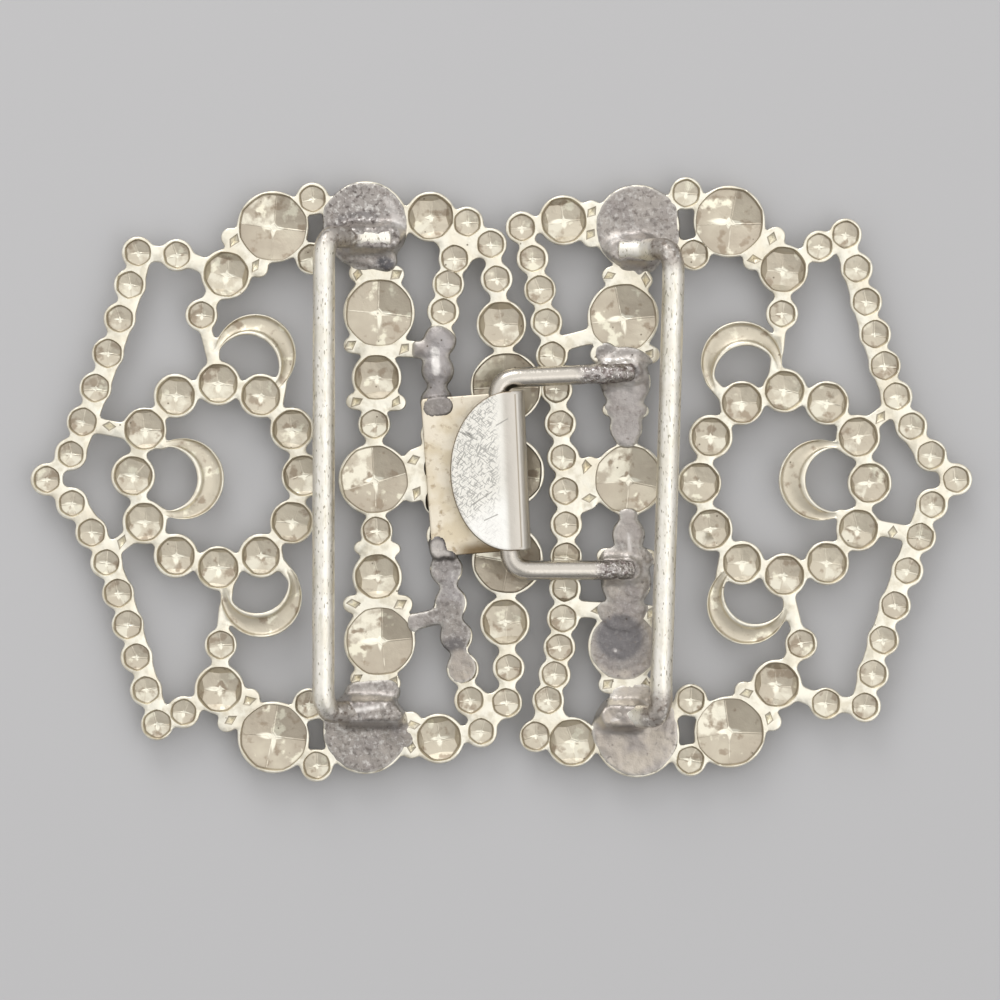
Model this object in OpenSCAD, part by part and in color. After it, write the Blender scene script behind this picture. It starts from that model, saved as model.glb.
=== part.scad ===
// Belt buckle of imitation cut steel in two halves, lying face down with its hook fastened in its loop.
// Each half is one pierced sheet with studs pressed out hollow and fittings soldered on its back.
// The X axis runs across both halves and the floor is at z = 0.

/* [Stamped sheet] */
// thickness of the sheet
sheet_t = 0.45; // [0.35:0.05:0.6]
// height of the sheet's back above the floor
back_z = 2.2; // [2.1:0.05:2.6]
// width of the flat rim round a stud's bowl
rim_w = 0.2; // [0.15:0.05:0.3]
// width of the web between two studs
web_w = 1.35; // [1.2:0.05:1.5]
// widest space between two bowls that a web still bridges
web_reach = 1.05; // [0.9:0.05:1.2]
// how far a stud's front is wider than its bowl where it leaves the sheet
cup_wall = 0.07; // [0.05:0.01:0.1]
// half the width up to which a crevice between webs is closed
crevice = 0.05; // [0.03:0.01:0.06]
// depth of a grain's pit in a web
grain_depth = 0.25; // [0.15:0.05:0.3]
// radius of a grain's pit
grain_r = 0.42; // [0.3:0.02:0.5]
// wall left under a bowl
bowl_wall = 0.4; // [0.3:0.05:0.5]

/* [Ring and crescents] */
// studs in the ring
ring_n = 12; // [10:1:12]
// half width of the ring, to the centres of its studs
ring_rx = 7.1; // [6.9:0.1:7.3]
// half height of the ring, to the centres of its studs
ring_ry = 7.7; // [7.5:0.1:7.9]
// outer radius of a crescent
crescent_r = 3.4; // [3.2:0.1:3.6]
// radius of the hole in a crescent
crescent_hole_r = 2.65; // [2.4:0.05:2.8]
// how far a crescent stands out in front
crescent_drop = 1.3; // [1:0.1:1.6]
// rim left round a crescent's trough
crescent_rim = 0.4; // [0.3:0.05:0.5]
// width of the webs at a crescent's horns
horn_w = 0.9; // [0.7:0.1:1.2]

/* [Strap bars] */
// diameter of the bar wire
bar_d = 1.8; // [1.5:0.1:2]
// height of the bar's centre above the floor
bar_z = 5; // [4.6:0.1:5.4]
// sides of a bar
bar_sides = 8; // [8:1:16]

/* [Hook plate] */
// thickness of the hook sheet
plate_t = 0.5; // [0.4:0.05:0.6]
// gap between the stamping's back and the plate
plate_gap = 0.15; // [0.1:0.05:0.3]
// height of the plate across the buckle
plate_h = 13.2; // [12.6:0.1:13.8]
// clear height inside the fold
fold_gap = 1.95; // [1.9:0.05:2.1]
// turn of the plate on its stamping, degrees
plate_turn = 2.5; // [0:0.5:3]

/* [Wire loop] */
// diameter of the loop wire
loop_d = 1.6; // [1.4:0.1:1.7]
// height of the wire's centre where it is soldered on
loop_foot_z = 3; // [2.9:0.1:3.2]
// sides of the loop wire
loop_sides = 8; // [8:1:16]

/* [Hidden] */
// kinds of stud, rows of SIZES; an EDGE stud is a SMALL one whose chain has its own wide web
SMALL = 0;
RING = 1;
MEDIUM = 2;
LARGE = 3;
BOSS = 4;
EDGE = 5;
// columns: bowl radius, how far it stands out in front, sides of its rim, sides of its bowl,
// flat share of its front, flat share of its bowl
SIZES = [
    [1.15, 1.0, 6, 6, 0, 0],
    [1.55, 1.3, 8, 8, 0.5, 0.4],
    [1.85, 1.4, 8, 8, 0.5, 0.4],
    [2.7, 2.0, 10, 8, 0.5, 0.4],
    [3.35, back_z, 10, 8, 0.5, 0.4],
    [1.15, 1.0, 6, 6, 0, 0],
];
// the ring's centre
ring_c = [-23.6, 0.3];
// columns: x, y, kind
CORNERS = [
    [-37.9, 0, SMALL],
    [-27.05, 18.7, SMALL],
    [-22.95, 17.1, MEDIUM],
    [-25, 13.7, SMALL],
    [-19.05, 21.05, LARGE],
    [-15.75, 23.4, SMALL],
    [-15.8, 18.4, SMALL],
    [-11.3, 21.3, BOSS],
    [-5.9, 21.9, MEDIUM],
    [-2.85, 21.4, SMALL],
    [-26.5, -19.4, SMALL],
    [-23.5, -17.5, MEDIUM],
    [-23.4, -13.8, SMALL],
    [-19, -21.5, LARGE],
    [-15.4, -23.85, SMALL],
    [-16.05, -18.75, SMALL],
    [-11.3, -21, BOSS],
    [-5.2, -21.6, MEDIUM],
    [-1.7, -21, SMALL],
];
// columns: x, y, kind
COLUMN = [
    [-10.2, 13.9, LARGE],
    [-10.4, 8.5, MEDIUM],
    [-10.6, 4.6, SMALL],
    [-10.6, 0, LARGE],
    [-10.4, -4.3, SMALL],
    [-10.35, -8.1, MEDIUM],
    [-10.15, -13.5, LARGE],
];
// the middle column, on the hook half alone; columns: x, y, kind
MIDDLE = [
    [-0.9, 19.6, SMALL],
    [-0.4, 16.7, SMALL],
    [0, 12.9, MEDIUM],
    [0.4, 7.7, LARGE],
    [0.6, 0.6, LARGE],
    [0.5, -6.7, LARGE],
    [0.3, -11.9, MEDIUM],
    [0.6, -15.7, SMALL],
    [0.4, -18.6, SMALL],
];
// small pits pressed into the webs; columns: x, y
GRAINS = [
    [-20.5, 17.8],
    [-22.3, 19.9],
    [-21.05, -18.4],
    [-22.55, -20.1],
    [-7.4, -20.4],
    [-7.5, -22.3],
    [-32.65, 4.45],
    [-31.6, -5.2],
    [-12.2, 17.2],
    [-8.5, 17.1],
    [-12.6, 11.2],
    [-8.1, 10.9],
    [-12.1, 6.5],
    [-8.8, 6.4],
    [-7.3, 1.6],
    [-7.1, -1.1],
    [-12.3, -10.4],
    [-8.4, -10.4],
    [-12.1, -16.9],
    [-8.8, -17.1],
];
// webs besides those between neighbouring studs; columns: x and y of each end, width
ARMS = [
    [-27.05, 18.7, -22.95, 17.1, 1.3],
    [-26.5, -19.4, -23.5, -17.5, 1.3],
    [-12.5, 17.2, -8.2, 17.1, 1.8],
    [-12.8, 11.2, -5.2, 10.7, 1.5],
    [-12.3, 6.5, -8.6, 6.4, 1.5],
    [-7.3, 1.8, -5.4, 2.5, 1.5],
    [-7.4, -1.2, -5.3, -0.1, 1.5],
    [-11.8, -5.7, -8.9, -5.8, 1.2],
    [-12.5, -10.4, -8.1, -10.4, 1.7],
    [-7.6, -12, -4.6, -11.2, 1.3],
    [-12.4, -16.9, -8.8, -17.1, 1.8],
    [-22.6, 20.2, -20.2, 17.6, 1.7],
    [-22.9, -20.3, -20.9, -18.2, 1.7],
    [-7.5, -20.1, -7.5, -22.5, 1.7],
    [-34.9, 4.7, -29.85, 3.75, 1.3],
    [-33.1, -6.4, -29.85, -3.95, 1.3],
];
// webs of the middle column; columns as in ARMS
MIDDLE_ARMS = [
    [0.4, 7.7, 0.6, 0.6, 2],
    [0.6, 0.6, 0.5, -6.7, 2],
    [0.3, -11.9, 0.6, -15.7, 1.3],
];
// a chain follows a smooth curve; columns: studs, kind, control points
CHAINS = [
    [7, EDGE, [[-30.3, 18.9], [-31.4, 13.7], [-34, 7.3], [-35.9, 2.1]]],
    [8, EDGE, [[-35.8, -2], [-31.5, -7.6], [-31.1, -13.7], [-28.7, -20.4]]],
    [15, SMALL, [[-3.9, 18.4], [-6, 11.2], [-5.8, 1.5], [-4.9, -9.5], [-2.6, -18.4]]],
];
// how far the web lies inward of a chain's studs
chain_shift = [0.3, 0];
// columns: outer centre, hole centre, stud or studs at its horns
CRESCENTS = [
    [[-20.5, 10.4], [-21.2, 9.4], [[-23.9, 10.3], [-25, 13.7], [-23.6, 8]]],
    [[-26.5, 0.05], [-28, 0.05], [[-28.3, 2.9], [-29.75, 4.15]]],
    [[-20, -9.8], [-20.4, -8.5], [[-23.1, -10.6], [-23.4, -13.8], [-22.6, -7.7]]],
];
// the other horns, that end in the ring
HORNS = [
    [[-18.3, 8], [-18.6, 6.4]],
    [[-28.3, -2.8], [-29.75, -3.55]],
    [[-17.4, -8.2], [-18.6, -6.8]],
];
// solder on each half; columns: x, y, height above the sheet's back, half sizes along x, y and z
HOOK_SOLDER = [
    [-11.23, 20.87, 0, 3.1, 3, 0.7],
    [-10.93, 20.37, 0.2, 2.65, 1.55, 1.15],
    [-11.17, -20.43, 0, 3.1, 2.9, 0.7],
    [-10.97, -19.63, 0.2, 2.6, 1.5, 1.15],
    [-5.57, 8.27, 0.1, 1.3, 3.3, 0.7],
    [-5.07, -8.03, 0.1, 1.3, 3.1, 0.65],
    [-4.33, -12.57, 0, 1.35, 3.2, 0.4],
];
LOOP_SOLDER = [
    [11.33, 20.43, 0, 3.1, 2.9, 0.7],
    [11.07, 19.77, 0.2, 2.65, 1.5, 1.15],
    [11.27, -20.97, 0, 3.1, 3, 0.7],
    [11.03, -19.93, 0.2, 2.6, 1.55, 1.15],
    [10.43, 8.07, 0.1, 1.9, 3.4, 1.1],
    [10.47, -6.23, 0.1, 1.7, 4.2, 1.1],
    [10.23, -13.93, 0, 2.6, 2.55, 0.3],
];
// the hook: its middle, its left edge and its fold, before it is turned
hook_c = [-2, 0.3];
plate_left = -6.45;
fold_x = 2;
// the tongue is half an ellipse that ends at the fold
tongue_rx = 4.95;
// the wire loop: its soldered ends, outermost point first, and the centres of its two bends
LOOP_FEET = [[[11.2, 8.85], [9, 8.75]], [[11.2, -7.5], [9, -7.55]]];
LOOP_BENDS = [[1, 7.15], [2, -6.25]];
loop_bend_r = 1.3;
// the strap bars in the left half's place; rows: upper end, lower end; columns: foot x, bar x, y
HOOK_BAR = [[-9.3, -14.75, 20.2], [-9.3, -14.75, -19.4]];
LOOP_BAR = [[-9.2, -13.2, 19.6], [-9.9, -14.2, -19.5]];
// heights of the hook
plate_z = back_z + plate_gap;
fold_r = fold_gap / 2;
fold_z = plate_z + plate_t + fold_r;
// a small overlap that makes joined shapes one solid
eps = 0.05;

function along(c, t) =
    len(c) == 1 ? c[0] : along([for (i = [0:len(c) - 2]) c[i] * (1 - t) + c[i + 1] * t], t);
function chain(row) = [for (i = [0:row[0] - 1]) concat(along(row[2], i / (row[0] - 1)), row[1])];
function ring() = [for (i = [0:ring_n - 1])
    [ring_c[0] + ring_rx * cos(i * 360 / ring_n), ring_c[1] + ring_ry * sin(i * 360 / ring_n), RING]];
function spot(s) = [s[0], s[1]];
function bowl_r(s) = SIZES[s[2]][0];
function drop(s) = SIZES[s[2]][1];
function rim_sides(s) = SIZES[s[2]][2];
function bowl_sides(s) = SIZES[s[2]][3];
function front_flat(s) = SIZES[s[2]][4];
function bowl_flat(s) = SIZES[s[2]][5];
// a rim's corners lie as far outside its true circle as its sides lie inside
function rim_r(s) = (bowl_r(s) + rim_w) * (1 + 1 / cos(180 / rim_sides(s))) / 2;
function near(a, b) =
    !(a[2] == EDGE && b[2] == EDGE) && norm(spot(a) - spot(b)) < bowl_r(a) + bowl_r(b) + web_reach;
function filled(s, pools, half) = len([for (p = pools)
    if (abs(s[0] - half * p[0]) < p[3] && abs(s[1] - half * p[1]) < p[4]) p]) > 0;
function studs(with_middle) = concat(
    CORNERS, COLUMN, ring(), chain(CHAINS[0]), chain(CHAINS[1]), chain(CHAINS[2]),
    with_middle ? MIDDLE : []);
function unit(v) = v / norm(v);

module strip(a, b, w) {
    hull() {
        translate(a) circle(d = w, $fn = 6);
        translate(b) circle(d = w, $fn = 6);
    }
}

module crescent_2d(row, inset) {
    difference() {
        translate(row[0]) circle(r = crescent_r - inset, $fn = 14);
        translate(row[1]) circle(r = crescent_hole_r + inset, $fn = 14);
    }
}

module sheet_2d(rows, arms) {
    for (s = rows) {
        translate(spot(s)) rotate(180 / bowl_sides(s)) circle(r = rim_r(s), $fn = rim_sides(s));
    }
    for (i = [0:len(rows) - 1], j = [0:len(rows) - 1]) {
        if (i < j && near(rows[i], rows[j])) strip(spot(rows[i]), spot(rows[j]), web_w);
    }
    for (c = [CHAINS[0], CHAINS[1]]) {
        line = chain(c);
        for (i = [0:len(line) - 2]) {
            strip(spot(line[i]) + chain_shift, spot(line[i + 1]) + chain_shift, web_w + 2 * rim_w);
        }
    }
    for (a = arms) strip([a[0], a[1]], [a[2], a[3]], a[4]);
    for (c = CRESCENTS) {
        crescent_2d(c, 0);
        for (i = [0:len(c[2]) - 2]) strip(c[2][i], c[2][i + 1], horn_w);
    }
    for (h = HORNS) strip(h[0], h[1], horn_w);
}

module stud_front(s) {
    r = bowl_r(s);
    translate([s[0], s[1], back_z - drop(s)]) rotate(180 / bowl_sides(s))
        cylinder(h = drop(s) - sheet_t / 2, r1 = r * front_flat(s), r2 = r + cup_wall, $fn = bowl_sides(s));
}

module stud_bowl(s) {
    r = bowl_r(s);
    deep = drop(s) - bowl_wall;
    translate([s[0], s[1], back_z - deep]) rotate(180 / bowl_sides(s))
        cylinder(h = deep + eps, r1 = r * bowl_flat(s), r2 = r, $fn = bowl_sides(s));
}

module grain_pit(at) {
    translate([at[0], at[1], back_z - grain_depth])
        cylinder(h = grain_depth + eps, r1 = 0, r2 = grain_r, $fn = 4);
}

// a half's stamping; half turns the rows of its solder pools to the stamping's own side
module stamping(with_middle, pools, half) {
    rows = studs(with_middle);
    arms = with_middle ? concat(ARMS, MIDDLE_ARMS) : ARMS;
    difference() {
        union() {
            translate([0, 0, back_z - sheet_t]) linear_extrude(sheet_t)
                offset(delta = -crevice) offset(delta = crevice) sheet_2d(rows, arms);
            for (s = rows) stud_front(s);
            for (c = CRESCENTS) {
                translate([0, 0, back_z - crescent_drop])
                    linear_extrude(crescent_drop - sheet_t / 2) crescent_2d(c, cup_wall);
            }
        }
        for (s = rows) {
            if (!filled(s, pools, half)) stud_bowl(s);
        }
        for (at = GRAINS) grain_pit(at);
        for (c = CRESCENTS) {
            translate([0, 0, back_z - crescent_drop + bowl_wall])
                linear_extrude(crescent_drop) crescent_2d(c, crescent_rim);
        }
    }
}

// a round wire along a path of points
module wire(path, r, sides) {
    n = len(path);
    rings = [for (i = [0:n - 1])
        let (
            way = unit(path[min(i + 1, n - 1)] - path[max(i - 1, 0)]),
            side = unit(cross(way, [0, 0, 1])),
            rise = cross(side, way)
        )
        [for (j = [0:sides - 1]) path[i] + r * (side * cos(j * 360 / sides) + rise * sin(j * 360 / sides))]
    ];
    points = [for (one = rings) each one];
    walls = [for (i = [0:n - 2], j = [0:sides - 1])
        let (k = (j + 1) % sides)
        each [
            [i * sides + j, (i + 1) * sides + k, (i + 1) * sides + j],
            [i * sides + j, i * sides + k, (i + 1) * sides + k]
        ]];
    first = [for (j = [sides - 1:-1:0]) j];
    last = [for (j = [0:sides - 1]) (n - 1) * sides + j];
    polyhedron(points, concat(walls, [first, last]));
}

// one bent end of a strap bar, from its foot to the bar; turn is 1 at the upper end and -1 at the lower
function bar_end(row, turn) =
    let (x = row[1], y = row[2], foot_z = back_z + bar_d / 2)
    [
        [row[0], y, foot_z - 0.1],
        [x + 2.4, y, foot_z + 0.05],
        [x + 0.8, y - turn * 0.15, bar_z - 0.75],
        [x, y - turn * 0.9, bar_z - 0.15],
        [x, y - turn * 2, bar_z],
    ];
function backward(list) = [for (i = [len(list) - 1:-1:0]) list[i]];

module strap_bar(ends) {
    path = concat(bar_end(ends[1], -1), backward(bar_end(ends[0], 1)));
    wire(path, bar_d / 2, bar_sides);
}

module hook_plate() {
    // the fold's axis is at turn_x, and the flat parts run left from it
    turn_x = fold_x - fold_r - plate_t;
    low = hook_c[1] - plate_h / 2;
    flat = turn_x - plate_left;
    out_r = fold_r + plate_t;
    translate(hook_c) rotate(plate_turn) translate(-hook_c) difference() {
        translate([turn_x, low + plate_h, fold_z]) rotate([90, 0, 0]) linear_extrude(plate_h)
            difference() {
                union() {
                    circle(r = out_r, $fn = 20);
                    translate([-flat, -out_r]) square([flat, 2 * out_r]);
                }
                circle(r = fold_r, $fn = 20);
                translate([-flat - 1, -fold_r]) square([flat + 1, 2 * fold_r]);
            }
        // the upper part is cut to a D
        translate([0, 0, fold_z]) linear_extrude(2 * out_r) difference() {
            translate([plate_left - 1, low - 1]) square([flat + 1, plate_h + 2]);
            translate([turn_x, hook_c[1]]) scale([tongue_rx, plate_h / 2 + 0.01]) circle(r = 1, $fn = 32);
        }
    }
}

// the solder pools of one half
module solder(pools) {
    for (p = pools) {
        translate([p[0], p[1], back_z + p[2]]) scale([p[3], p[4], p[5]]) sphere(r = 1, $fn = 8);
    }
}

function loop_corner(c, start) = [for (a = [start:22.5:start + 90])
    [c[0] + loop_bend_r * cos(a), c[1] + loop_bend_r * sin(a), fold_z]];

module wire_loop() {
    upper = [for (p = LOOP_FEET[0]) [p[0], p[1], loop_foot_z]];
    lower = [for (p = LOOP_FEET[1]) [p[0], p[1], loop_foot_z]];
    bends = concat(loop_corner(LOOP_BENDS[0], 90), loop_corner(LOOP_BENDS[1], 180));
    wire(concat(upper, bends, backward(lower)), loop_d / 2, loop_sides);
}

module hook_half() {
    color("silver") stamping(true, HOOK_SOLDER, 1);
    color("gainsboro") strap_bar(HOOK_BAR);
    color("lightgray") hook_plate();
    color("slategray") solder(HOOK_SOLDER);
}

module loop_half() {
    color("silver") rotate(180) stamping(false, LOOP_SOLDER, -1);
    color("gainsboro") rotate(180) strap_bar(LOOP_BAR);
    color("lightgray") wire_loop();
    color("slategray") solder(LOOP_SOLDER);
}

hook_half();
loop_half();
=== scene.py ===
import functools
import math
import random

import bpy
import numpy as np
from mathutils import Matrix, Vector, noise
from mathutils.geometry import delaunay_2d_cdt


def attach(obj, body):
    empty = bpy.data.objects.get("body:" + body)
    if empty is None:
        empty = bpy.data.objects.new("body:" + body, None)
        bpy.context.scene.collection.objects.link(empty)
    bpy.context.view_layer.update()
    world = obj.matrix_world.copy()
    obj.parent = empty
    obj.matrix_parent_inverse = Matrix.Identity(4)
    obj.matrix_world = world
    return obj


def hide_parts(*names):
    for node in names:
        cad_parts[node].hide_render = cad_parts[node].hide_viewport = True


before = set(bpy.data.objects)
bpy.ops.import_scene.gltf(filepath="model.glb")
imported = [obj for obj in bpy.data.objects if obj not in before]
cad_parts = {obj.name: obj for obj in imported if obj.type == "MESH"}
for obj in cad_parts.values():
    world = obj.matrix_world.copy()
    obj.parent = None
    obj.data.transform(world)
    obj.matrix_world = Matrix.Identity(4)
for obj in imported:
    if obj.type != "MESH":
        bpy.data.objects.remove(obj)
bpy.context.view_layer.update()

# All sizes below are millimetres until a mesh is made. The buckle lies face down, so +Z is its back.
MM = 0.001

# Sheet
BACK_Z = 2.2
SHEET_T = 0.45
BOWL_T = 0.4
RIM_W = 0.14
WEB_W = 1.35
EDGE_WEB_W = 1.75
WEB_REACH = 0.9
EDGE_ROUND = 0.11
FILLET = 0.2
GRID = 0.1
OUTLINE_STEP = 0.2
RIM_STEP = 0.28

# Facets of a stud. columns: azimuths and share of the radius where they end, depth there, slope in degrees
SQUARE_WALLS = [
    ((0, 180), 0.98, 0.38, 42),
    ((90,), 0.95, 0.34, 39),
    ((270,), 0.96, 0.36, 37),
]
SMALL_FACETS = [
    ((0, 180), 0.96, 0.3, 42),
    ((90,), 0.94, 0.28, 39),
    ((270,), 0.95, 0.3, 37),
    ((70, 110), 0, 0.55, 11),
    ((250, 290), 0, 0.55, 7),
]
RING_FACETS = SQUARE_WALLS + [((72, 108), 0.1, 0.8, 10), ((250, 290), 0.1, 0.8, 8), ((0,), 0, 0.8, 0)]
MEDIUM_FACETS = SQUARE_WALLS + [((68, 112), 0.1, 0.95, 10), ((248, 292), 0.1, 0.95, 9), ((0,), 0, 0.95, 0)]
LARGE_FACETS = [((45, 135, 225, 315), 0.09, 1.6, 13), ((0,), 0, 1.6, 0)]
BOSS_FACETS = [((45, 135, 225, 315), 0.12, 1.8, 14), ((0,), 0, 1.8, 0)]
# Kinds of stud. columns: bowl radius, spread, corners, wall's share of the radius, wall's depth, facets
KINDS = {
    "small": (1.23, 0.05, 6, 0.93, 0.24, SMALL_FACETS),
    "ring": (1.72, 0.03, 8, 0.95, 0.28, RING_FACETS),
    "medium": (1.96, 0.02, 8, 0.96, 0.28, MEDIUM_FACETS),
    "large": (2.86, 0.01, 8, 0.97, 1, LARGE_FACETS),
    "boss": (3.42, 0.005, 8, 0.97, 1, BOSS_FACETS),
}
# How far an outline goes from round to straight sided
STRAIGHT = 0.35
# Seeded spread of a stud's turn and of its facets' azimuths and slopes, in degrees
TURN_SPREAD = 11
AZIMUTH_SPREAD = 4
SLOPE_SPREAD = 2
# Facets less steep than this are a stud's floor
FLOOR_SLOPE = 20
# Depth at which the sheet is as thin as a bowl and looks hollow
HOLLOW_DEPTH = 0.3
# Width of the dirt and painted shade inside the foot of a stud's wall
GROOVE_W = 0.08
# Thin raised lines between a stud's floor facets
RIDGE_W = 0.07
RIDGE_H = 0.04
# Difference in slope at which a ridge has its full height
RIDGE_SLOPE = 0.3
# The star of painted highlight round a stud's centre, as shares of the radius
STAR_CORE = 0.12
# The part of its reach over which it fades
STAR_FADE = 0.3
# Its arms to the right, up, left and down. columns: least and most reach, sharpness, sharpness on large studs
STAR_ARMS = [(0.1, 0.45, 2, 2), (0, 0.15, 2, 2), (0.15, 0.6, 1.5, 1.5), (0.1, 0.45, 0.6, 2)]
# Facets that get a painted highlight and how often they do, on large studs and on the others
LIT_LARGE = ((1,), 0.65)
LIT_OTHERS = ((6, 7), 0.55)
# Least and most brown in a stud's hollow
STUD_TONE = {"large": (0.7, 1.3), "others": (0, 0.7)}

# Studs of the left half; the right half is the same turned half round. columns: x, y, kind
STUDS = [
    (-37.9, 0, "small"),
    (-27.05, 18.7, "small"),
    (-22.95, 17.1, "medium"),
    (-25, 13.7, "small"),
    (-19.05, 21.05, "large"),
    (-15.75, 23.4, "small"),
    (-15.8, 18.4, "small"),
    (-11.3, 21.3, "boss"),
    (-5.9, 21.9, "medium"),
    (-2.85, 21.4, "small"),
    (-26.5, -19.4, "small"),
    (-23.5, -17.5, "medium"),
    (-23.4, -13.8, "small"),
    (-19, -21.5, "large"),
    (-15.4, -23.85, "small"),
    (-16.05, -18.75, "small"),
    (-11.3, -21, "boss"),
    (-5.2, -21.6, "medium"),
    (-1.7, -21, "small"),
    (-10.2, 13.9, "large"),
    (-10.4, 8.5, "medium"),
    (-10.6, 4.6, "small"),
    (-10.6, 0, "large"),
    (-10.4, -4.3, "small"),
    (-10.35, -8.1, "medium"),
    (-10.15, -13.5, "large"),
]
MIDDLE_STUDS = [
    (-0.9, 19.6, "small"),
    (-0.4, 16.7, "small"),
    (0, 12.9, "medium"),
    (0.4, 7.7, "large"),
    (0.6, 0.6, "large"),
    (0.5, -6.7, "large"),
    (0.3, -11.9, "medium"),
    (0.6, -15.7, "small"),
    (0.4, -18.6, "small"),
]
RING_N = 12
RING_C = (-23.6, 0.3)
RING_RX = 7.1
RING_RY = 7.7
# Chains of small studs on smooth curves. columns: studs, on the edge, control points
CHAINS = [
    (7, True, [(-30.3, 18.9), (-31.4, 13.7), (-34, 7.3), (-35.9, 2.1)]),
    (8, True, [(-35.8, -2), (-31.5, -7.6), (-31.1, -13.7), (-28.7, -20.4)]),
    (15, False, [(-3.9, 18.4), (-6, 11.2), (-5.8, 1.5), (-4.9, -9.5), (-2.6, -18.4)]),
]
CHAIN_SHIFT = 0.3
# Small pits in the webs. columns: x, y
GRAINS = [
    (-20.5, 17.8), (-22.3, 19.9), (-21.05, -18.4), (-22.55, -20.1), (-7.4, -20.4), (-7.5, -22.3),
    (-32.65, 4.45), (-31.6, -5.2), (-12, 17.1), (-8.8, 17.1), (-12.5, 11.2), (-8.1, 10.9),
    (-12.1, 6.5), (-8.8, 6.4), (-7.3, 1.6), (-7.1, -1.1), (-12.3, -10.4), (-8.4, -10.4),
    (-12, -16.6), (-9, -17),
]
GRAIN_R = 0.52
GRAIN_DEPTH = 0.32
# Webs besides those between neighbouring studs. columns: x and y of each end, width
ARMS = [
    (-27.05, 18.7, -22.95, 17.1, 1.3),
    (-26.5, -19.4, -23.5, -17.5, 1.3),
    (-12, 17.2, -8.8, 17.1, 1.5),
    (-12.5, 11.2, -5.2, 10.7, 1.4),
    (-12.3, 6.5, -8.6, 6.4, 1.4),
    (-7.3, 1.8, -5.4, 2.5, 1.5),
    (-7.4, -1.2, -5.3, -0.1, 1.5),
    (-7.2, 1.7, -7.2, -1.2, 1.3),
    (-11.8, -5.7, -8.9, -5.8, 1.1),
    (-12.5, -10.4, -8.1, -10.4, 1.5),
    (-7.6, -12, -4.6, -11.2, 1.3),
    (-11.9, -16.6, -9.1, -17, 1.5),
    (-22.6, 20.2, -20.2, 17.6, 1.6),
    (-22.9, -20.3, -20.9, -18.2, 1.6),
    (-7.5, -20.1, -7.5, -22.5, 1.6),
    (-34.9, 4.7, -29.85, 3.75, 1.3),
    (-33.1, -6.4, -29.85, -3.95, 1.3),
]
MIDDLE_ARMS = [
    (0.4, 7.7, 0.6, 0.6, 2),
    (0.6, 0.6, 0.5, -6.7, 2),
    (0.3, -11.9, 0.6, -15.7, 1.3),
]
# Crescents. columns: outer centre, hole centre, spots that the webs at their horns join
CRESCENT_R = 3.4
CRESCENT_HOLE_R = 2.65
CRESCENT_DEPTH = 0.55
HORN_W = 0.9
CRESCENTS = [
    ((-20.5, 10.4), (-21.2, 9.4), [(-23.9, 10.3), (-25, 13.7), (-23.6, 8)]),
    ((-26.5, 0.05), (-28, 0.05), [(-28.3, 2.9), (-29.75, 4.15)]),
    ((-20, -9.8), (-20.4, -8.5), [(-23.1, -10.6), (-23.4, -13.8), (-22.6, -7.7)]),
]
HORNS = [
    [(-18.3, 8), (-18.6, 6.4)],
    [(-28.3, -2.8), (-29.75, -3.55)],
    [(-17.4, -8.2), (-18.6, -6.8)],
]


def lengths(points):
    """The way gone along a line, at each of its points."""
    return np.concatenate([[0], np.cumsum(np.linalg.norm(np.diff(points, axis=0), axis=1))])


def bell(size, step):
    """Weights that blur over a size, for values a step apart."""
    reach = int(3 * size / step)
    weights = np.exp(-0.5 * (np.arange(-reach, reach + 1) * step / size) ** 2)
    return weights / weights.sum()


def unit_ways(angle):
    return np.column_stack([np.cos(angle), np.sin(angle)])


def polar(p):
    """Distance and angle of points from the centre."""
    return np.hypot(p[:, 0], p[:, 1]), np.arctan2(p[:, 1], p[:, 0])


def along(points, t):
    """A point at share t of the smooth curve with these control points."""
    points = np.array(points, float)
    while len(points) > 1:
        points = points[:-1] * (1 - t) + points[1:] * t
    return tuple(points[0])


def chain(row):
    """The studs of one chain."""
    count = row[0]
    return [(*along(row[2], i / (count - 1)), "small") for i in range(count)]


def ring():
    """The studs of the ring."""
    turns = [2 * math.pi * i / RING_N for i in range(RING_N)]
    return [(RING_C[0] + RING_RX * math.cos(a), RING_C[1] + RING_RY * math.sin(a), "ring") for a in turns]


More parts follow.
